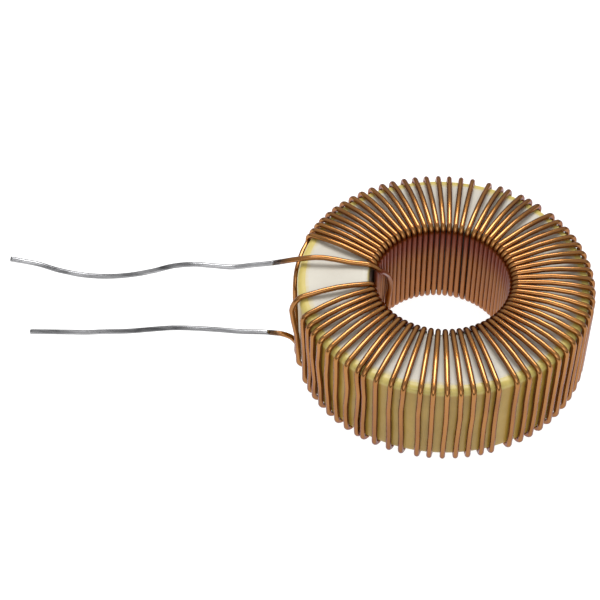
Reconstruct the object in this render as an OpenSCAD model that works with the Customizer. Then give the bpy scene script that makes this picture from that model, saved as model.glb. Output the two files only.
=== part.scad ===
// Toroidal inductor: a coated iron-powder ring, wound with one enamelled copper wire.
// The ring's axis is Z, the lowest wires touch z = 0, and the two leads run out along -X.
// Angles are seen from above, anticlockwise from +X, so the leads leave near 180 degrees.

/* [Core] */
// Outer diameter of the coated ring
core_od = 33; // [26:0.5:60]
// Bore of the coated ring
core_id = 16.3; // [12:0.1:20]
// Height of the coated ring
core_h = 11.1; // [7:0.1:25]
// Width of the bevel on the four rims
rim_bevel = 0.75; // [0.6:0.05:1]
// Thickness of the coat all over the ring
coat_t = 0.3; // [0.1:0.05:0.5]

/* [Wire] */
// Diameter of the bare copper
copper_d = 0.56; // [0.4:0.01:0.7]
// Thickness of the enamel on it
enamel_t = 0.035; // [0.02:0.005:0.05]
// Thickness of the solder on the straight tips; it is a third of that on the bent stretches
tin_t = 0.03; // [0.03:0.005:0.06]
// Bend radius of the wire's centre line over a rim, beyond the width of the bevel
bend_ease = 0.2; // [0.1:0.02:0.2]
// Clearance between the wire and the coat
lay_gap = 0.03; // [0.02:0.01:0.1]
// Least clearance between neighbouring turns in the bore
turn_gap = 0.01; // [0.01:0.01:0.1]

/* [Winding] */
// Angle of the first turn at the outer rim
rim_start = 161.5; // [155:0.5:163]
// Arc from the last turn to the lower lead at the outer rim
exit_arc = 5.1; // [4:0.1:8]
// Angle of the first turn in the bore
bore_start = 168.5; // [160:0.5:169]
// Arc from the first turn to the last in the bore
bore_arc = 335.5; // [250:0.5:336]
// Arc in the bore left over for uneven gaps
spare_arc = 23; // [10:1:60]

/* [Leads] */
// Angle at which the wire leaves the bore for the outer wall, before the first turn
start_angle = 183; // [181:0.5:184]
// Angle at which the lower lead leaves the outer wall
exit_angle = 191.9; // [190:0.1:193]
// Height at which the lower lead bends away from the wall
exit_z = 2.7; // [2.2:0.1:4]
// Length of the straight tip of the upper lead
upper_tip = 3; // [2:0.5:6]
// Length of the straight tip of the lower lead
lower_tip = 7; // [3:0.5:10]

/* [Hidden] */
$fn = 128;

sides = 6;
copper_r = copper_d / 2;
wire_r = copper_r + enamel_t;
wire_d = 2 * wire_r;
tin_r = copper_r + tin_t;
thin_t = tin_t / 3;
// Height from the surface under the wires to the underside of the ring
lift = wire_d + lay_gap;
bend_r = rim_bevel + bend_ease;
// Centre line of the wire where it lies on the ring
rim_r = core_od / 2 + lay_gap + wire_r;
bore_r = core_id / 2 - lay_gap - wire_r;
low_z = wire_r;
high_z = lift + core_h + lay_gap + wire_r;
wound_r = rim_r + wire_r;
layer = wire_d + turn_gap;

// Arc from the first turn to the last at the outer rim
rim_arc = rim_start + 360 - exit_angle - exit_arc;

// Turns that fit side by side in the bore, and their closest pitch there in degrees
closest_pitch = 2 * asin(layer / 2 / bore_r);
turns = floor((bore_arc - spare_arc) / closest_pitch) + 1;
last = turns - 1;

// Looseness of the turns in the bore, along the winding from 0 to 1
bore_looseness = [[0, 0.35], [0.26, 0.35], [0.28, 1.2], [0.3, 0.06], [0.66, 0.06], [0.72, 0.75], [1, 0.7]];
// Pitch at the outer rim along the winding, as a share of the even pitch
rim_pitch = [[0, 0.66], [0.05, 0.82], [0.1, 0.98], [1, 1]];
// Wide and narrow gaps at the outer rim: place along the winding, share of a pitch added
rim_gaps = [
    [0.28, 0.5], [0.3, -0.2], [0.325, 0.22], [0.34, -0.25], [0.36, 0.46],
    [0.69, 0.5], [0.71, -0.12], [0.8, 0.22], [0.83, 0.2], [0.86, -0.4], [0.95, -0.2], [0.99, 1.03]
];

function gap_at(k) = [for (g = rim_gaps) if (round(g[0] * last) == k) g[1]];
function total(list) = len(list) == 0 ? 0 : list * [for (v = list) 1];
function rim_step(k) = lookup(k / last, rim_pitch) + total(gap_at(k)) + 0.05 * sin(137 * k);
function bore_step(k) = lookup(k / last, bore_looseness);
rim_sum = [for (k = 0, s = 0; k <= last; s = s + rim_step(k), k = k + 1) s];
bore_sum = [for (k = 0, s = 0; k <= last; s = s + bore_step(k), k = k + 1) s];
bore_spare = bore_arc - last * closest_pitch;
function rim_angle(k) = rim_start - rim_arc * rim_sum[k] / rim_sum[last];
function bore_angle(k) = bore_start - k * closest_pitch - bore_spare * bore_sum[k] / bore_sum[last];

function polar(r, angle, z) = [r * cos(angle), r * sin(angle), z];

// A bend of the centre line over a rim, in the upright plane at the given angle
function bend(angle, r, z, from, to, steps) = [
    for (i = [0:steps])
        let (a = from + (to - from) * i / steps)
        polar(r + bend_r * cos(a), angle, z + bend_r * sin(a))
];
function outer_bottom(angle, steps) = bend(angle, rim_r - bend_r, low_z + bend_r, -90, 0, steps);
function outer_top(angle, steps) = bend(angle, rim_r - bend_r, high_z - bend_r, 0, 90, steps);
function inner_top(angle, steps) = bend(angle, bore_r + bend_r, high_z - bend_r, 90, 180, steps);
function inner_bottom(angle, steps) = bend(angle, bore_r + bend_r, low_z + bend_r, 180, 270, steps);

// Upper lead from its tip to the wound rim: distance beyond the rim, side, height over the turns
upper_route = [
    [30.2, -0.6, -2.1], [27.6, -0.5, -3.1], [25, -0.3, -3.8], [22.3, -0.2, -3.9],
    [19.5, -0.1, -3.5], [16.5, 0.1, -2.7], [14, 0.2, -1.7], [11.5, 0.3, -1.3], [9.2, 0.4, -1.4],
    [7, 0.5, -1.5], [4.6, 0.6, -1], [2.5, 0.7, -0.6], [0.4, 0.9, -0.1]
];
// Upper lead across the upper face: share of the way to the bore, side, height over the turns
face_route = [
    [0.04, 0.9, 0.2], [0.16, 0.9, 0.5], [0.3, 1, 0.6], [0.47, 1, 0.5], [0.63, 1, 0.2], [0.78, 1, 0.1], [0.9, 1, 0.05]
];
// Upper lead down the bore, over the first turns: angle, layers off the bore wall, share of the height
dip_route = [
    [173, 0.1, 0.965], [172, 1, 0.915], [167, 1.15, 0.86], [160, 1.2, 0.77], [153, 1.2, 0.66],
    [150, 1.2, 0.55], [150.5, 1.2, 0.45], [153, 1.2, 0.36], [156, 1.2, 0.25], [161, 1.2, 0.17],
    [167, 1.15, 0.11], [172, 0.9, 0.075]
];
// Wire on the outer wall before the first turn: angle, share of the height
rise_route = [[183, 0.45], [182.5, 0.62], [181, 0.73], [177.5, 0.82], [172.5, 0.865], [167, 0.885]];
// Last turn where it stands off the outer wall: stand-off, share of the height
slack_route = [[0, 0.12], [0.1, 0.5], [0.45, 0.74], [0.5, 0.86]];
// Lower lead from the wall to its tip: distance beyond the wound rim, side, height over the bend
lower_route = [
    [-0.1, 0, 0.9], [0.6, 0, 1.3], [2.4, -0.1, 1.6], [5.4, -0.2, 1.5], [8.9, -0.3, 1.6],
    [12.5, -0.4, 1.6], [14.2, -0.4, 1.4], [16.1, -0.5, 1.1], [19.7, -0.6, 0.4], [22.5, -0.6, 0], [24.3, -0.7, -0.2]
];

function unit(v) = v / norm(v);
upper_points = [for (p = upper_route) [-wound_r - p[0], p[1], high_z + p[2]]];
face_points = [for (p = face_route) [-rim_r + p[0] * (rim_r - bore_r), p[1], high_z + p[2]]];
upper_end = upper_points[0] + upper_tip * unit([-1, -0.04, 0.2]);
exit_point = polar(rim_r, exit_angle, exit_z);
lower_points = [for (p = lower_route) [-wound_r - p[0], exit_point[1] + p[1], exit_z + p[2]]];
lower_end = lower_points[len(lower_points) - 1] + lower_tip * unit([-1, -0.02, -0.07]);

function first_outer() = [for (p = rise_route) polar(rim_r, p[0], p[1] * high_z)];
function last_outer(angle) = [for (p = slack_route) polar(rim_r + p[0], angle, p[1] * high_z)];
function up_outer_wall(k) =
    k == 0 ? concat(outer_bottom(start_angle, 1), first_outer()) :
    k == last ? concat(outer_bottom(rim_angle(k), 1), last_outer(rim_angle(k))) :
    outer_bottom(rim_angle(k), 1);
function turn(k) = concat(
    up_outer_wall(k),
    outer_top(rim_angle(k), 2),
    inner_top(bore_angle(k), 2),
    inner_bottom(bore_angle(k), 1)
);

// The whole centre line, from the tip of the upper lead to the tip of the lower one
route = concat(
    [upper_end],
    upper_points,
    face_points,
    [for (p = dip_route) polar(bore_r - p[1] * layer, p[0], p[2] * high_z)],
    inner_bottom(175.5, 1),
    [for (k = [0:last]) each turn(k)],
    outer_bottom(exit_angle, 1),
    [exit_point],
    lower_points,
    [lower_end]
);
end = len(route) - 1;
// Rings at which the solder ends and the enamel begins
upper_edge = 12;
lower_edge = end - 9;

// Direction in which the centre line reaches point i, and the normal of the section there
function straight(i) = i <= 1 || i >= end - 1;
function normal(i) =
    i <= 1 ? unit(route[1] - route[0]) :
    i >= end - 1 ? unit(route[end] - route[end - 1]) :
    unit(unit(route[i] - route[i - 1]) + unit(route[i + 1] - route[i]));
function reach(i) = straight(i) ? normal(i) : unit(route[i] - route[i - 1]);
function sideways(p) = norm([p[0], p[1]]) > wound_r + 0.2 ? [0, -1, 0] : unit([-p[1], p[0], 0]);
function across(i) = let (d = reach(i), s = sideways(route[i])) unit(s - (s * d) * d);

// Corners of the mitred section of a wire of radius r at point i
function ring(i, r) =
    let (n = normal(i), d = reach(i), u = across(i), v = cross(d, u))
    [
        for (s = [0:sides - 1])
            let (a = 360 * (s + 0.5) / sides, w = r * (cos(a) * u + sin(a) * v))
            route[i] + w - d * (w * n) / (d * n)
    ];

function wall_faces(a, b) = [
    for (s = [0:sides - 1])
        let (n = (s + 1) % sides)
        each [
            [a * sides + s, a * sides + n, b * sides + n],
            [a * sides + s, b * sides + n, b * sides + s]
        ]
];

module rod(rings) {
    m = len(rings) - 1;
    first = [for (s = [0:sides - 1]) s];
    final = [for (s = [sides - 1:-1:0]) m * sides + s];
    polyhedron(
        points = [for (r = rings) each r],
        faces = concat([for (i = [0:m - 1]) each wall_faces(i + 1, i)], [first, final])
    );
}

module sleeve(outer, inner) {
    k = len(outer);
    polyhedron(
        points = [for (r = concat(outer, inner)) each r],
        faces = concat(
            [for (i = [1:k - 1]) each wall_faces(i, i - 1)],
            [for (i = [1:k - 1]) for (f = wall_faces(k + i, k + i - 1)) [f[2], f[1], f[0]]],
            wall_faces(2 * k - 1, k - 1),
            wall_faces(0, k)
        )
    );
}

// Half section of the ring, inset by t from the coated surface
module ring_section(t) {
    r1 = core_id / 2 + t;
    r2 = core_od / 2 - t;
    z1 = lift + t;
    z2 = lift + core_h - t;
    c = rim_bevel - t * (2 - sqrt(2));
    polygon([
        [r1 + c, z1], [r2 - c, z1], [r2, z1 + c], [r2, z2 - c],
        [r2 - c, z2], [r1 + c, z2], [r1, z2 - c], [r1, z1 + c]
    ]);
}

// Half section of the white coat, which covers the flat of the upper face
module white_section() {
    r1 = core_id / 2 + rim_bevel;
    r2 = core_od / 2 - rim_bevel;
    translate([r1, lift + core_h - coat_t])
        square([r2 - r1, coat_t]);
}

// Pressed iron-powder ring
module core() {
    color("dimgray")
        rotate_extrude()
            ring_section(coat_t);
}

// Epoxy coat on the bore, the outer wall, the bevels and the underside
module yellow_coat() {
    color("khaki")
        rotate_extrude()
            difference() {
                ring_section(0);
                ring_section(coat_t);
                white_section();
            }
}

// White coat on the upper face
module white_coat() {
    color("ivory")
        rotate_extrude()
            difference() {
                white_section();
                ring_section(coat_t);
            }
}

// The one enamelled wire, stripped to bare copper at both ends
module winding() {
    color("peru")
        rod(concat(
            [for (i = [0:upper_edge]) ring(i, copper_r)],
            [for (i = [upper_edge:lower_edge]) ring(i, wire_r)],
            [for (i = [lower_edge:end]) ring(i, copper_r)]
        ));
}

// Thin solder that follows the wire from ring a to ring b
module thin_solder(a, b) {
    sleeve(
        [for (i = [a:b]) ring(i, copper_r + thin_t)],
        [for (i = [a:b]) ring(i, copper_r)]
    );
}

// Thick round solder on the straight tip that ends at point i and comes from point j
module tip_solder(i, j) {
    t = unit(route[j] - route[i]);
    u = across(i);
    v = cross(t, u);
    foot = route[i];
    long = norm(route[j] - route[i]) - tin_t;
    multmatrix([[u[0], v[0], t[0], foot[0]], [u[1], v[1], t[1], foot[1]], [u[2], v[2], t[2], foot[2]]])
        difference() {
            cylinder(h = long, r = tin_r);
            linear_extrude(height = long)
                rotate(180 / sides)
                    circle(r = copper_r + thin_t / 2, $fn = sides);
        }
}

module upper_lead_tin() {
    color("silver") {
        thin_solder(0, upper_edge);
        tip_solder(0, 1);
    }
}

module lower_lead_tin() {
    color("silver") {
        thin_solder(lower_edge, end);
        tip_solder(end, end - 1);
    }
}

core();
yellow_coat();
white_coat();
winding();
upper_lead_tin();
lower_lead_tin();
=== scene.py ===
import math
import random

import bpy
import numpy as np
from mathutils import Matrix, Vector


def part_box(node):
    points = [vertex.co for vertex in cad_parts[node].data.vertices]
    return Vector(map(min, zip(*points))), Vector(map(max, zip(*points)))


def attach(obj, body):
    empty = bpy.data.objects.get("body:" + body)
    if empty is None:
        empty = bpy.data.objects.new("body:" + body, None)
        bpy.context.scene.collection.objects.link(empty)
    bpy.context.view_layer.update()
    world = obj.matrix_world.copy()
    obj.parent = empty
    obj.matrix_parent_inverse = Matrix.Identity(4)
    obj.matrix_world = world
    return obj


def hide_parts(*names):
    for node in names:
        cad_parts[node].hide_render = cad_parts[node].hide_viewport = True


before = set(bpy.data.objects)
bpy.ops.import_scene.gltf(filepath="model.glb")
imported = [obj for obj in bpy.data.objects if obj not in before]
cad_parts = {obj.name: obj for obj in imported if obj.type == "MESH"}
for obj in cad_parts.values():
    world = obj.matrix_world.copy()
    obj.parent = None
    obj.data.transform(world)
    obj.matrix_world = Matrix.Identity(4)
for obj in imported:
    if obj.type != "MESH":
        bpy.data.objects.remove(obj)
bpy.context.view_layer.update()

# Lengths are in millimetres up to the point where a mesh is made, and angles are in degrees,
# anticlockwise from +X seen from above.
MM = 0.001

# ---- sizes ----

# The wire
COPPER_D = 0.56
ENAMEL_T = 0.035
WIRE_R = COPPER_D / 2 + ENAMEL_T
SHOWN_R = WIRE_R - 0.003        # a round tube just inside the frame's hexagonal rod
TURN_GAP = 0.01
LAYER = 2 * WIRE_R + TURN_GAP
LAY_GAP = 0.03
BEND_R = 0.95                   # over a rim: the width of its bevel and 0.2 more
BEND_STEPS = 6
BEND_RUN = 0.15                 # the short straight before and after a bend

# The coated ring, from the frame's own box
RING_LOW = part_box("yellow_coat")[0].z / MM
RING_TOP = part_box("yellow_coat")[1].z / MM
RING_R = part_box("yellow_coat")[1].x / MM
BORE_R = 8.15
BEVEL = 0.75
ROUNDING = BEVEL + 0.05         # the yellow coat's rims
YELLOW_TOP = RING_TOP - 0.01    # just under the white coat's face
WHITE_OVERLAP = 0.1             # how far the white coat reaches over the bevels
WHITE_T = 0.05
WHITE_SLOPE = 0.35
WHITE_ROUNDING = 0.2
LATHE_SEGMENTS = 240

# Centre line of the wire where it lies on the ring
RIM = RING_R + LAY_GAP + WIRE_R
BORE = BORE_R - LAY_GAP - WIRE_R
LOW = WIRE_R
HIGH = RING_TOP + LAY_GAP + WIRE_R
WOUND = RIM + WIRE_R

# The turns' places
BORE_START = 168.5
BORE_ARC = 335.5
SPARE_ARC = 23                  # shared out between the turns in the bore
START_ANGLE = 183               # where the wire starts up the outer wall
RIM_START = 161.5
EXIT_ANGLE = 191.9
EXIT_ARC = 5.1                  # from the last turn to the lower lead
RIM_ARC = RIM_START + 360 - EXIT_ANGLE - EXIT_ARC
CLOSEST_PITCH = math.degrees(2 * math.asin(LAYER / 2 / BORE))
TURNS = int((BORE_ARC - SPARE_ARC) / CLOSEST_PITCH) + 1
LAST = TURNS - 1
RIM_JITTER = 0.05               # a share of the mean pitch
JITTER_ANGLE = 137

# Place along the winding from 0 to 1, and how loosely the turns lie there
BORE_LOOSENESS = [(0, 0.35), (0.26, 0.35), (0.28, 1.2), (0.3, 0.06), (0.66, 0.06), (0.72, 0.75),
                  (1, 0.7)]
RIM_PITCH = [(0, 0.66), (0.05, 0.82), (0.1, 0.98), (1, 1)]
# Place along the winding, and how much wider, or closer if below 0, the one gap there is
RIM_GAPS = [(0.28, 0.5), (0.3, -0.2), (0.325, 0.22), (0.34, -0.25), (0.36, 0.46), (0.69, 0.5),
            (0.71, -0.12), (0.8, 0.22), (0.83, 0.2), (0.86, -0.4), (0.95, -0.2), (0.99, 1.03)]

# The shape of each turn
ARCH_SLOPE = 9                  # how steeply each turn leaves a rim for its arch across the face
ARCH = (0.28, 0.44)             # least and most height of the arch over the face
ARCH_PEAK = (0.85, 1.1)         # below 1 the arch leans to the outer rim, above 1 to the bore
ARCH_PLACES = (0.12, 0.25, 0.38, 0.5, 0.62, 0.75, 0.88)
UNDERSIDE_LIFT = (0, 0.1)
UNDERSIDE_PLACES = (0.25, 0.5, 0.75)
BORE_PLACES = (0.25, 0.5, 0.75)
WALL_PLACES = (0.12, 0.3, 0.5, 0.7, 0.88)
WAVE_LEAST = 0.08               # how far the wire on the outer wall strays to each side
WAVE_MORE = 0.22                # beside the lower lead, where the winding ends
WAVE_AT = -145
WAVE_REACH = 26
BOW_RATE = 0.9                  # radians from one turn to the next
TWIST_RATE = 0.7
CUT_CORNER = 4                  # points of the last turn's first bend, which its slack wire leaves out

# The two leads and the wire's run-in and run-out, as in the frame
EXIT_Z = 2.7
UPPER_TIP, LOWER_TIP = 3, 7
UPPER_WAY = (-1, -0.04, 0.2)
LOWER_WAY = (-1, -0.02, -0.07)
DIP_FOOT = 175.5                # where the run-in leaves the bore for the underside
SOLDER_EDGE = 2.5               # how far beyond the wound rim the solder ends on both leads

# From the tip in: how far beyond the wound rim, Y, and height over the turns on the face
UPPER_ROUTE = [(30.2, -0.6, -2.1), (27.6, -0.5, -3.1), (25, -0.3, -3.8), (22.3, -0.2, -3.9),
               (19.5, -0.1, -3.5), (16.5, 0.1, -2.7), (14, 0.2, -1.7), (11.5, 0.3, -1.3),
               (9.2, 0.4, -1.4), (7, 0.5, -1.5), (4.6, 0.6, -1), (2.5, 0.7, -0.6), (0.4, 0.9, -0.1)]
# Share of the way from the outer rim to the bore, Y, and height over the turns on the face
FACE_ROUTE = [(0.04, 0.9, 0.2), (0.16, 0.9, 0.5), (0.3, 1, 0.6), (0.47, 1, 0.5), (0.63, 1, 0.2),
              (0.78, 1, 0.1), (0.9, 1, 0.05)]
# Angle, layers of wire inside the turns in the bore, and share of the height
DIP_ROUTE = [(173, 0.1, 0.965), (172, 1, 0.915), (167, 1.15, 0.86), (160, 1.2, 0.77),
             (153, 1.2, 0.66), (150, 1.2, 0.55), (150.5, 1.2, 0.45), (153, 1.2, 0.36),
             (156, 1.2, 0.25), (161, 1.2, 0.17), (167, 1.15, 0.11), (172, 0.9, 0.075)]
# Angle on the outer wall, and share of the height
RISE_ROUTE = [(183, 0.45), (182.5, 0.62), (181, 0.73), (177.5, 0.82), (172.5, 0.865), (167, 0.885)]
# How far the last turn stands off the wall, and share of the height
SLACK_ROUTE = [(0, 0.12), (0.1, 0.5), (0.45, 0.74), (0.5, 0.86)]
# How far beyond the wound rim, Y and height from where the wire leaves the wall
LOWER_ROUTE = [(-0.1, 0, 0.9), (0.6, 0, 1.3), (2.4, -0.1, 1.6), (5.4, -0.2, 1.5), (8.9, -0.3, 1.6),
               (12.5, -0.4, 1.6), (14.2, -0.4, 1.4), (16.1, -0.5, 1.1), (19.7, -0.6, 0.4),
               (22.5, -0.6, 0), (24.3, -0.7, -0.2)]

# The tubes
SPAN_STEPS = 6                  # corners on the smooth curve for each point of the centre line
MOST_TURN = 7.0                 # the wire may turn and run this far from one ring of corners to the next
MOST_LENGTH = 2.2
WIRE_SIDES = 14
BURNT_LENGTH = 1.6              # of the enamel beside the solder
SOLDER_SIDES = 16
SOLDER_R = COPPER_D / 2 + 0.015
SOLDER_WAVES = (9, 5, 2.6, 1.3)  # lengths of the swellings along a lead
SOLDER_SWELL = 0.0045
FULL_TURN = 6.3                 # in radians, and a little over

# ---- colours, all linear; in a pair, the darker comes first ----

AMBER = (0.285, 0.107, 0.014), (0.39, 0.163, 0.03)
# painted bounced light: the wire in the bore is redder, standing in for light bouncing between the turns
BORE_BOUNCE_AMBER = (0.45, 0.165, 0.03)
# painted shade: the wire in the upper part of the bore is dark maroon
MAROON_SHADE = (0.37, 0.105, 0.07)    # the wire in the upper part of the bore
MAROON_FROM, MAROON_FULL = 7.5, 10      # heights
BURNT = (0.045, 0.025, 0.015)
AMBER_EDGE = (0.2, 0.10, 0.05, 1)       # at grazing angles
TIN = (0.09, 0.09, 0.094), (0.38, 0.38, 0.39)
WHITE = (0.57, 0.535, 0.455)
WHITE_LOW = (0.52, 0.485, 0.41)
WHITE_EDGE = (0.56, 0.44, 0.12) # the white coat where the yellow shows through
RIM_YELLOW = (0.50, 0.40, 0.10), (0.62, 0.50, 0.15)
# painted shade and painted bounced copper light: the yellow coat on the outer wall, darker and more orange
# than on the rims
SHADED_WALL_YELLOW = (0.35, 0.215, 0.028), (0.44, 0.28, 0.045)
# painted shade: the yellow coat in the bore, near black
BORE_COAT_SHADE = (0.07, 0.058, 0.045)
IRON = (0.05, 0.05, 0.052), (0.3, 0.3, 0.31)
FLOOR = (0.24, 0.24, 0.24), (0.26, 0.26, 0.26)
FLOOR_GLOW = 0.95
SHADE = (0.12, 0.11, 0.10)
SHADE_AT = (0.0, -6.0)          # the darkest place on the floor in the hole
SHADE_R = 6.5

# ---- camera and lights ----

LENS = 83.43
SENSOR = 36
NEAREST = 0.005                 # in metres
AIM = (-16.42, 0.13, 6.21)
ROLL = -2.155
EYE = (0, -108.82, 126.31)
FLOOR_HALF = 900
LIGHT_AIM = (0, 0, 6)
OVERHEAD_AT, OVERHEAD_SIZE, OVERHEAD_POWER = (0, 148, 317), (240, 150), 0.85
FILL_AT, FILL_SIZE, FILL_POWER = (0, -250, 190), (200, 200), 0.2
SKY = (0.10, 0.66)              # strength at the horizon and above
SKY_RISE = 0.45                 # the sine of the elevation from which it has its full strength


# ---- the turns' places ----

def lookup(x, table):
    return float(np.interp(x, [row[0] for row in table], [row[1] for row in table]))


def rim_step(k):
    gaps = sum(extra for place, extra in RIM_GAPS if math.floor(place * LAST + 0.5) == k)
    return lookup(k / LAST, RIM_PITCH) + gaps + RIM_JITTER * math.sin(math.radians(JITTER_ANGLE * k))


def bore_step(k):
    return lookup(k / LAST, BORE_LOOSENESS)


def running_share(step):
    """How far along the winding each turn lies, from 0 to 1."""
    total = [0.0]
    for k in range(LAST):
        total.append(total[-1] + step(k))
    return [value / total[-1] for value in total]


RIM_SHARE = running_share(rim_step)
BORE_SHARE = running_share(bore_step)


def rim_angle(k):
    return RIM_START - RIM_ARC * RIM_SHARE[k]


def bore_angle(k):
    return BORE_START - k * CLOSEST_PITCH - (BORE_ARC - LAST * CLOSEST_PITCH) * BORE_SHARE[k]


# ---- the wire's centre line ----

UP = np.array([0.0, 0.0, 1.0])


def polar(r, angle, z):
    return np.array([r * math.cos(math.radians(angle)), r * math.sin(math.radians(angle)), z])


def unit(vector):
    return np.array(vector) / np.linalg.norm(vector)


def flat_unit(a, b):
    return unit([b[0] - a[0], b[1] - a[1], 0.0])


def bend(corner, outward, first, final):
    """A bend round a corner's centre, in the upright plane that holds the outward direction."""
    def spoke(a):
        return outward * math.cos(math.radians(a)) + UP * math.sin(math.radians(a))

    def along(a):
        way = UP * math.cos(math.radians(a)) - outward * math.sin(math.radians(a))
        return math.copysign(1, final - first) * way

    arc = [corner + BEND_R * spoke(a) for a in np.linspace(first, final, BEND_STEPS + 1)]
    return [arc[0] - BEND_RUN * along(first)] + arc + [arc[-1] + BEND_RUN * along(final)]


def over_top(start, stop, arch, peak):
    """Up over the outer rim at start, in an arch across the face, and down into the bore at stop."""
    way = flat_unit(start, stop)
    first = start + way * BEND_R + UP * (HIGH - BEND_R)
    final = stop - way * BEND_R + UP * (HIGH - BEND_R)
    points = bend(first, -way, 0, 90 - ARCH_SLOPE)
    for s in ARCH_PLACES:
        place = first + (final - first) * s
        place[2] = HIGH + arch * math.sin(math.pi * s ** peak)
        points.append(place)
    return points + bend(final, way, 90 - ARCH_SLOPE, 0)


def under_bottom(start, stop, lift):
    """Out of the bore at start, across the underside and up over the lower outer rim at stop."""
    way = flat_unit(start, stop)
    first = start + way * BEND_R + UP * (LOW + BEND_R)
    final = stop - way * BEND_R + UP * (LOW + BEND_R)
    points = bend(first, -way, 0, -90)
    for s in UNDERSIDE_PLACES:
        place = first + (final - first) * s
        place[2] = LOW + lift * math.sin(math.pi * s) ** 2
        points.append(place)
    return points + bend(final, way, -90, 0)


def waviness(angle):
    """How far the wire on the outer wall strays to each side."""
    return WAVE_LEAST + WAVE_MORE * math.exp(-((angle - WAVE_AT) / WAVE_REACH) ** 2)


def wall(k, angle):
    """Up the outer wall, with the slow waves of wire wound by hand, which run on from turn to turn."""
    bow = waviness(angle) * math.sin(BOW_RATE * k)
    twist = waviness(angle) * math.cos(TWIST_RATE * k)
    points = []
    for s in WALL_PLACES:
        side = bow * math.sin(math.pi * s) ** 2
        side += twist * math.sin(2 * math.pi * s) * math.sin(math.pi * s)
        z = LOW + BEND_R + s * (HIGH - LOW - 2 * BEND_R)
        points.append(polar(RIM, angle + math.degrees(side / RIM), z))
    return points


def bore_wall(angle):
    return [polar(BORE, angle, HIGH + (LOW - HIGH) * s) for s in BORE_PLACES]


def first_wall():
    return [polar(RIM, angle, share * HIGH) for angle, share in RISE_ROUTE]


def last_wall(angle):
    return [polar(RIM + off, angle, share * HIGH) for off, share in SLACK_ROUTE]


def turns():
    """Every turn, from the first rise on the outer wall to the last descent in the bore."""
    rng = random.Random(7)
    points = first_wall()
    for k in range(TURNS):
        outer = polar(RIM, rim_angle(k), 0)
        inner = polar(BORE, bore_angle(k), 0)
        arch = rng.uniform(*ARCH)
        crossing = over_top(outer, inner, arch, rng.uniform(*ARCH_PEAK))
        points += crossing[CUT_CORNER:] if k == LAST else crossing
        points += bore_wall(bore_angle(k))
        if k == LAST:
            points += under_bottom(inner, polar(RIM, EXIT_ANGLE, 0), 0)
        else:
            angle = rim_angle(k + 1)
            points += under_bottom(inner, polar(RIM, angle, 0), rng.uniform(*UNDERSIDE_LIFT))
            points += last_wall(angle) if k + 1 == LAST else wall(k + 1, angle)
    return points


def upper_lead():
    """From the tip of the upper lead to the foot of the wire's first rise."""
    beyond = [np.array([-WOUND - out, y, HIGH + up]) for out, y, up in UPPER_ROUTE]
    tip = [beyond[0] + UPPER_TIP * s * unit(UPPER_WAY) for s in (1, 0.5)]
    face = [np.array([-RIM + share * (RIM - BORE), y, HIGH + up]) for share, y, up in FACE_ROUTE]
    dip = [polar(BORE - off * LAYER, angle, share * HIGH) for angle, off, share in DIP_ROUTE]
    foot = under_bottom(polar(BORE, DIP_FOOT, 0), polar(RIM, START_ANGLE, 0), 0)
    return tip + beyond + face + dip + foot


def lower_lead():
    """From where the wire leaves the outer wall to the tip of the lower lead."""
    leave = polar(RIM, EXIT_ANGLE, EXIT_Z)
    beyond = [np.array([-WOUND - out, leave[1] + y, EXIT_Z + up]) for out, y, up in LOWER_ROUTE]
    tip = [beyond[-1] + LOWER_TIP * s * unit(LOWER_WAY) for s in (0.35, 0.7, 1)]
    return [leave] + beyond + tip


# ---- curves to meshes ----

def smooth_curve(points, steps):
    """A smooth curve through the points, with that many steps from each to the next."""
    p = np.array(points)
    h = np.linalg.norm(np.diff(p, axis=0), axis=1)[:, None]
    d = np.diff(p, axis=0) / h
    m = np.vstack([d[:1], (h[1:] * d[:-1] + h[:-1] * d[1:]) / (h[1:] + h[:-1]), d[-1:]])
    rows = []
    for t in np.arange(steps) / steps:
        rows.append((2 * t ** 3 - 3 * t ** 2 + 1) * p[:-1] + (t ** 3 - 2 * t ** 2 + t) * h * m[:-1]
                    + (3 * t ** 2 - 2 * t ** 3) * p[1:] + (t ** 3 - t ** 2) * h * m[1:])
    return np.vstack([np.stack(rows, axis=1).reshape(-1, 3), p[-1:]])


def thin_out(curve, most_turn, most_length):
    """Drops points where the curve hardly turns."""
    step = np.diff(curve, axis=0)
    length = np.linalg.norm(step, axis=1)
    way = step / length[:, None]
    kept = [0]
    since = 0.0
    start = way[0]
    for i in range(1, len(curve) - 1):
        since += length[i - 1]
        turn = math.degrees(math.acos(max(-1.0, min(1.0, float(start @ way[i])))))
        if turn > most_turn or since > most_length:
            kept.append(i)
            since = 0.0
            start = way[i]
    return curve[kept + [len(curve) - 1]]


def run_along(curve):
    """The distance along the curve at each of its points."""
    return np.concatenate([[0], np.cumsum(np.linalg.norm(np.diff(curve, axis=0), axis=1))])


def around_tube(sides):
    """The angle of each side round a tube, in radians."""
    return np.arange(sides) * 2 * math.pi / sides


def tube_rings(curve, radius, sides):
    """Rings of corners round the curve, without twist; radius is one number or one for each corner."""
    way = np.gradient(curve, axis=0)
    way /= np.linalg.norm(way, axis=1)[:, None]
    u = np.cross(way[0], [0, 1, 0])
    around = around_tube(sides)
    radius = np.broadcast_to(np.asarray(radius, float), (len(curve), sides))
    rings = []
    for i in range(len(curve)):
        u = u - (u @ way[i]) * way[i]
        u /= np.linalg.norm(u)
        v = np.cross(way[i], u)
        ring = np.cos(around)[:, None] * u + np.sin(around)[:, None] * v
        rings.append(curve[i] + radius[i][:, None] * ring)
    return np.array(rings)


def tube_faces(rings, sides):
    faces = [tuple(range(sides - 1, -1, -1))]
    for i in range(rings - 1):
        for s in range(sides):
            n = (s + 1) % sides
            faces.append((i * sides + s, i * sides + n, (i + 1) * sides + n, (i + 1) * sides + s))
    faces.append(tuple((rings - 1) * sides + s for s in range(sides)))
    return faces


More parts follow.
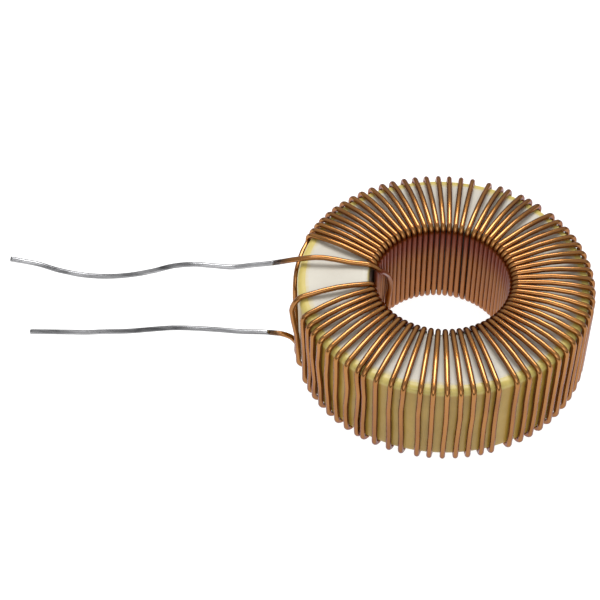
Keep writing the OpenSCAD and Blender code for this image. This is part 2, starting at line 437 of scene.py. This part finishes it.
def add_mesh(name, corners, faces):
    mesh = bpy.data.meshes.new(name)
    mesh.from_pydata((np.asarray(corners) * MM).tolist(), [], faces)
    mesh.update()
    mesh.polygons.foreach_set("use_smooth", [len(f) == 4 for f in faces])
    piece = bpy.data.objects.new(name, mesh)
    bpy.context.scene.collection.objects.link(piece)
    return piece


def add_tube(name, curve, radius, sides):
    rings = tube_rings(curve, radius, sides)
    return add_mesh(name, rings.reshape(-1, 3), tube_faces(len(curve), sides))


def add_lathe(name, profile, segments):
    """A closed outline of (radius, height) turned round the Z axis."""
    count = len(profile)
    corners = []
    faces = []
    for s in range(segments):
        angle = 360 * s / segments
        corners += [polar(r, angle, z) for r, z in profile]
        after = (s + 1) % segments
        for i in range(count):
            n = (i + 1) % count
            faces.append((s * count + i, after * count + i, after * count + n, s * count + n))
    return add_mesh(name, corners, faces)


def point_value(piece, name, values):
    """A number at each corner, which a material can read."""
    layer = piece.data.attributes.new(name, "FLOAT", "POINT")
    layer.data.foreach_set("value", np.asarray(values, np.float32))


# ---- pieces ----

def split_at_solder(curve):
    """The upper lead's tinned stretch, the enamelled wire and the lower lead's tinned stretch."""
    out = -WOUND - curve[:, 0]
    enamel = np.nonzero(out < SOLDER_EDGE)[0]
    return curve[:enamel[0] + 1], curve[enamel[0]:enamel[-1] + 1], curve[enamel[-1]:]


def make_winding(curve):
    curve = thin_out(curve, MOST_TURN, MOST_LENGTH)
    piece = add_tube("enamelled_wire", curve, SHOWN_R, WIRE_SIDES)
    run = run_along(curve)
    from_end = np.minimum(run, run[-1] - run)
    burnt = np.clip(1 - from_end / BURNT_LENGTH, 0, 1)
    point_value(piece, "burnt", np.repeat(burnt, WIRE_SIDES))
    return piece


def make_solder(name, curve, seed):
    """A thin, slightly uneven coat of solder round the stripped wire."""
    rng = random.Random(seed)
    run = run_along(curve)
    around = around_tube(SOLDER_SIDES)
    radius = np.full((len(curve), SOLDER_SIDES), SOLDER_R)
    for length in SOLDER_WAVES:
        wave = rng.uniform(0, FULL_TURN)
        turn = rng.uniform(0, FULL_TURN)
        lean = rng.choice((1, 2))
        radius += SOLDER_SWELL * (np.sin(2 * math.pi * run / length + wave)[:, None]
                                  * np.sin(lean * around + turn)[None, :])
    return add_tube(name, curve, radius, SOLDER_SIDES)


def rounded(corners, radius, steps=4):
    """A closed outline with each corner rounded off."""
    outline = []
    for i in range(len(corners)):
        here = np.array(corners[i])
        back = np.array(corners[i - 1]) - here
        ahead = np.array(corners[(i + 1) % len(corners)]) - here
        cut = min(radius, 0.45 * np.linalg.norm(back), 0.45 * np.linalg.norm(ahead))
        a = here + back / np.linalg.norm(back) * cut
        b = here + ahead / np.linalg.norm(ahead) * cut
        for t in np.linspace(0, 1, steps + 1):
            outline.append(tuple((1 - t) ** 2 * a + 2 * t * (1 - t) * here + t ** 2 * b))
    return outline


def make_yellow_coat():
    """A ring whose rims are rounded from end to end of the frame's flat bevels."""
    corners = [(BORE_R, RING_LOW), (RING_R, RING_LOW), (RING_R, YELLOW_TOP), (BORE_R, YELLOW_TOP)]
    return add_lathe("yellow_epoxy_coat", rounded(corners, ROUNDING, 8), LATHE_SEGMENTS)


def make_white_coat():
    """A thin disc on the face, which slopes off at both edges."""
    inner = BORE_R + BEVEL - WHITE_OVERLAP
    outer = RING_R - BEVEL + WHITE_OVERLAP
    low = RING_TOP - WHITE_T
    corners = [(inner, low), (outer, low), (outer - WHITE_SLOPE, RING_TOP), (inner + WHITE_SLOPE, RING_TOP)]
    return add_lathe("white_epoxy_coat", rounded(corners, WHITE_ROUNDING), LATHE_SEGMENTS)


# ---- materials ----

class Nodes:
    """Short ways to build one material's nodes."""

    def __init__(self, name):
        self.material = bpy.data.materials.new(name)
        self.material.use_nodes = True
        self.tree = self.material.node_tree
        self.shader = next(n for n in self.tree.nodes if n.type == "BSDF_PRINCIPLED")
        self.place = self.add("ShaderNodeTexCoord").outputs["Object"]

    def add(self, kind, **settings):
        node = self.tree.nodes.new(kind)
        for key, value in settings.items():
            setattr(node, key, value)
        return node

    def link(self, source, target):
        self.tree.links.new(source, target)

    def noise(self, scale, detail=3.0, stretch=None, roughness=0.5):
        """scale is in lumps to the metre; stretch is a scale along each axis."""
        node = self.add("ShaderNodeTexNoise")
        node.inputs["Scale"].default_value = scale
        node.inputs["Detail"].default_value = detail
        node.inputs["Roughness"].default_value = roughness
        place = self.place
        if stretch:
            mapping = self.add("ShaderNodeMapping")
            mapping.inputs["Scale"].default_value = stretch
            self.link(place, mapping.inputs["Vector"])
            place = mapping.outputs["Vector"]
        self.link(place, node.inputs["Vector"])
        return node.outputs["Fac"]

    def ramp(self, value, low, high, start=0.0, end=1.0):
        """A value from start to end becomes a value or colour from low to high."""
        if isinstance(low, tuple):
            node = self.add("ShaderNodeValToRGB")
            for element, at, colour in zip(node.color_ramp.elements, (start, end), (low, high)):
                element.position = at
                element.color = (*colour, 1)
            self.link(value, node.inputs["Fac"])
            return node.outputs["Color"]
        node = self.add("ShaderNodeMapRange")
        for key, number in (("From Min", start), ("From Max", end), ("To Min", low), ("To Max", high)):
            node.inputs[key].default_value = number
        self.link(value, node.inputs["Value"])
        return node.outputs["Result"]

    def mix(self, share, first, second):
        """One colour or the other, by share."""
        node = self.add("ShaderNodeMix", data_type="RGBA")
        self.link(share, node.inputs["Factor"])
        for source, target in ((first, node.inputs[6]), (second, node.inputs[7])):
            if isinstance(source, tuple):
                target.default_value = (*source, 1)
            else:
                self.link(source, target)
        return node.outputs[2]

    def maths(self, operation, *values):
        node = self.add("ShaderNodeMath", operation=operation)
        for value, target in zip(values, node.inputs):
            if isinstance(value, (int, float)):
                target.default_value = value
            else:
                self.link(value, target)
        return node.outputs["Value"]

    def bump(self, height, depth):
        """depth is in millimetres."""
        node = self.add("ShaderNodeBump")
        node.inputs["Distance"].default_value = depth * MM
        self.link(height, node.inputs["Height"])
        self.link(node.outputs["Normal"], self.shader.inputs["Normal"])

    def constant(self, **values):
        for key, value in values.items():
            self.shader.inputs[key.replace("_", " ")].default_value = value

    def height(self):
        """Height over the floor, in millimetres."""
        split = self.add("ShaderNodeSeparateXYZ")
        self.link(self.place, split.inputs["Vector"])
        return self.maths("MULTIPLY", split.outputs[2], 1 / MM)

    def radius(self, centre=(0.0, 0.0)):
        """Distance in millimetres from the ring's axis, or from an upright line elsewhere."""
        split = self.add("ShaderNodeSeparateXYZ")
        self.link(self.place, split.inputs["Vector"])
        sides = [self.maths("SUBTRACT", split.outputs[i], centre[i] * MM) for i in (0, 1)]
        squares = [self.maths("MULTIPLY", side, side) for side in sides]
        return self.maths("MULTIPLY", self.maths("SQRT", self.maths("ADD", *squares)), 1 / MM)


def enamelled_copper():
    """Amber enamel over copper, duller in the bore, and burnt where the solder begins; redder in the bore
    as painted bounced light, and dark maroon in its upper part as painted shade.
    """
    n = Nodes("enamelled_copper")
    height = n.height()
    inside = n.ramp(n.radius(), 1.0, 0.0, BORE_R - 0.25, BORE_R + 0.15)
    below = n.ramp(height, 1.0, 0.0, HIGH - BEND_R, HIGH - 0.4)
    in_bore = n.maths("MULTIPLY", inside, below)
    # painted shade: the wire turns dark maroon in the upper part of the bore
    upper_bore_shade = n.maths("MULTIPLY", in_bore, n.ramp(height, 0.0, 0.9, MAROON_FROM, MAROON_FULL))
    amber = n.ramp(n.noise(140, 2), *AMBER, 0.35, 0.65)
    # painted bounced light: the wire in the bore gets the redder amber
    tone = n.mix(upper_bore_shade, n.mix(in_bore, amber, BORE_BOUNCE_AMBER), MAROON_SHADE)
    attribute = n.add("ShaderNodeAttribute", attribute_name="burnt")
    patchy = n.ramp(n.noise(2200, 2), 0.6, 1.4, 0.35, 0.65)
    burnt = n.maths("MULTIPLY", attribute.outputs["Fac"], patchy)
    n.link(n.mix(burnt, tone, BURNT), n.shader.inputs["Base Color"])
    dull = n.maths("ADD", n.maths("MULTIPLY", burnt, 0.3), n.maths("MULTIPLY", in_bore, 0.35))
    gloss = n.ramp(n.noise(420, 3), 0.17, 0.27, 0.3, 0.7)
    n.link(n.maths("ADD", gloss, dull), n.shader.inputs["Roughness"])
    n.constant(Metallic=1.0, Specular_Tint=AMBER_EDGE,
               Coat_Weight=0.8, Coat_Roughness=0.08, Coat_IOR=1.5)
    n.bump(n.noise(400, 2), 0.002)
    return n.material


def solder():
    """Bright solder, with streaks along the leads."""
    n = Nodes("solder")
    streaks = n.noise(900, 4, (0.12, 1, 1), 0.6)
    n.link(n.ramp(streaks, *TIN, 0.35, 0.62), n.shader.inputs["Base Color"])
    n.link(n.ramp(n.noise(600, 3, (0.3, 1, 1)), 0.16, 0.42, 0.3, 0.7), n.shader.inputs["Roughness"])
    n.constant(Metallic=1.0)
    n.bump(n.noise(1400, 3, (0.25, 1, 1)), 0.03)
    return n.material


def yellow_epoxy():
    """Light yellow on the rims, with painted shade and bounced copper light making the wall darker and more
    orange, painted shade making the bore near black, and white overspray.
    """
    n = Nodes("yellow_epoxy")
    radius = n.radius()
    height = n.height()
    at_wall = n.ramp(radius, 0.0, 1.0, RING_R - 0.45, RING_R - 0.1)
    under_rim = n.ramp(height, 1.0, 0.0, RING_TOP - BEVEL - 0.1, RING_TOP - BEVEL + 0.2)
    # painted shade: the outer wall below the rim gets the darker, more orange yellow
    wall_shade = n.maths("MULTIPLY", at_wall, under_rim)
    mottle = n.noise(260, 4)
    yellow = n.mix(wall_shade, n.ramp(mottle, *RIM_YELLOW, 0.3, 0.7),
                   n.ramp(mottle, *SHADED_WALL_YELLOW, 0.3, 0.7))
    ragged = n.ramp(n.noise(420, 4), -0.12, 0.12, 0.2, 0.8)
    ragged_radius = n.maths("ADD", radius, ragged)
    near_bore = n.ramp(ragged_radius, 1.0, 0.0, BORE_R + 0.9, BORE_R + 1.1)
    near_top = n.ramp(n.maths("ADD", height, ragged), 0.0, 1.0, RING_TOP - 0.5, RING_TOP - 0.2)
    thin = n.ramp(radius, 0.0, 1.0, BORE_R + 0.25, BORE_R + 0.45)
    sprayed = n.maths("MULTIPLY", n.maths("MULTIPLY", near_bore, near_top), thin)
    # painted shade: the coat on the bore wall goes near black
    in_bore = n.ramp(ragged_radius, 1.0, 0.0, BORE_R + 0.1, BORE_R + 0.4)
    n.link(n.mix(sprayed, n.mix(in_bore, yellow, BORE_COAT_SHADE), WHITE), n.shader.inputs["Base Color"])
    n.link(n.ramp(n.noise(900, 3), 0.28, 0.42, 0.3, 0.7), n.shader.inputs["Roughness"])
    n.bump(n.noise(1300, 3), 0.02)
    return n.material


def white_epoxy():
    """Off-white, with a ragged edge where the yellow coat shows through at the outer rim."""
    n = Nodes("white_epoxy")
    white = n.ramp(n.noise(220, 4), WHITE_LOW, WHITE, 0.3, 0.7)
    ragged = n.maths("ADD", n.radius(), n.ramp(n.noise(380, 4), -0.5, 0.5, 0.2, 0.8))
    outer = n.ramp(ragged, 0.0, 1.0, RING_R - BEVEL - 0.7, RING_R - BEVEL + 0.1)
    n.link(n.mix(outer, white, WHITE_EDGE), n.shader.inputs["Base Color"])
    n.link(n.ramp(n.noise(900, 3), 0.38, 0.52, 0.3, 0.7), n.shader.inputs["Roughness"])
    n.bump(n.noise(1300, 3), 0.03)
    return n.material


def iron_powder():
    """Pressed grey powder, which the coats hide."""
    n = Nodes("iron_powder")
    grain = n.noise(4200, 4, roughness=0.7)
    n.link(n.ramp(grain, *IRON, 0.38, 0.66), n.shader.inputs["Base Color"])
    n.link(n.ramp(grain, 0.7, 0.45, 0.3, 0.7), n.shader.inputs["Roughness"])
    n.constant(Metallic=0.6)
    n.bump(grain, 0.03)
    return n.material


def pale_floor():
    """White, and dark only in the ring's own shade, in the near half of its hole."""
    n = Nodes("pale_floor")
    n.link(n.ramp(n.noise(30, 3), *FLOOR, 0.3, 0.7), n.shader.inputs["Base Color"])
    from_shade = n.maths("DIVIDE", n.radius(SHADE_AT), SHADE_R)
    n.link(n.ramp(from_shade, SHADE, (1, 1, 1), 0.65, 1), n.shader.inputs["Emission Color"])
    n.constant(Roughness=0.6, Emission_Strength=FLOOR_GLOW)
    return n.material


def finish_with(piece, material):
    piece.data.materials.clear()
    piece.data.materials.append(material)


# ---- camera, floor and light ----

def add_camera():
    data = bpy.data.cameras.new("camera")
    data.lens = LENS
    data.sensor_width = SENSOR
    data.clip_start = NEAREST
    camera = bpy.data.objects.new("camera", data)
    camera.location = Vector(EYE) * MM
    way = Vector(AIM) * MM - Vector(EYE) * MM
    camera.rotation_euler = way.to_track_quat("-Z", "Y").to_euler()
    camera.rotation_euler.rotate_axis("Z", math.radians(ROLL))
    bpy.context.scene.collection.objects.link(camera)
    bpy.context.scene.camera = camera


def add_floor():
    corners = [(x * FLOOR_HALF, y * FLOOR_HALF, 0) for x, y in ((-1, -1), (1, -1), (1, 1), (-1, 1))]
    floor = add_mesh("floor", corners, [(0, 1, 2, 3)])
    finish_with(floor, pale_floor())


def add_soft_box(name, place, size, power):
    data = bpy.data.lights.new(name, "AREA")
    data.shape = "RECTANGLE"
    data.size = size[0] * MM
    data.size_y = size[1] * MM
    data.energy = power
    light = bpy.data.objects.new(name, data)
    light.location = Vector(place) * MM
    way = Vector(LIGHT_AIM) * MM - light.location
    light.rotation_euler = way.to_track_quat("-Z", "Y").to_euler()
    bpy.context.scene.collection.objects.link(light)


def add_sky():
    """A white studio, dim at the horizon and bright above."""
    world = bpy.data.worlds.new("studio")
    world.use_nodes = True
    tree = world.node_tree
    background = tree.nodes["Background"]
    background.inputs["Color"].default_value = (1, 1, 1, 1)
    way = tree.nodes.new("ShaderNodeTexCoord")
    split = tree.nodes.new("ShaderNodeSeparateXYZ")
    shade = tree.nodes.new("ShaderNodeMapRange")
    for key, number in (("From Max", SKY_RISE), ("To Min", SKY[0]), ("To Max", SKY[1])):
        shade.inputs[key].default_value = number
    tree.links.new(way.outputs["Generated"], split.inputs["Vector"])
    tree.links.new(split.outputs[2], shade.inputs["Value"])
    tree.links.new(shade.outputs["Result"], background.inputs["Strength"])
    bpy.context.scene.world = world


def add_lights():
    add_soft_box("overhead", OVERHEAD_AT, OVERHEAD_SIZE, OVERHEAD_POWER)
    add_soft_box("front_fill", FILL_AT, FILL_SIZE, FILL_POWER)
    add_sky()


def add_wire():
    """The winding and the solder on both leads, along one centre line."""
    curve = smooth_curve(upper_lead() + turns() + lower_lead(), SPAN_STEPS)
    upper, enamel, lower = split_at_solder(curve)
    copper = enamelled_copper()
    tin = solder()
    wire = make_winding(enamel)
    finish_with(wire, copper)
    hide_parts("winding")
    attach(wire, "root")
    for name, stretch, node, seed in (("upper_solder", upper, "upper_lead_tin", 3),
                                      ("lower_solder", lower, "lower_lead_tin", 5)):
        piece = make_solder(name, stretch, seed)
        finish_with(piece, tin)
        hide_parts(node)
        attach(piece, "root")


def add_ring():
    """The two coats, and the core that they hide."""
    for piece, material, node, finish in (
            (make_yellow_coat(), yellow_epoxy(), "yellow_coat", "yellow_epoxy"),
            (make_white_coat(), white_epoxy(), "white_coat", "white_epoxy")):
        finish_with(piece, material)
        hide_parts(node)
        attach(piece, "root")
    finish_with(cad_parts["core"], iron_powder())


def main():
    bpy.context.scene.view_settings.view_transform = "Standard"
    add_camera()
    add_floor()
    add_lights()
    add_wire()
    add_ring()


main()
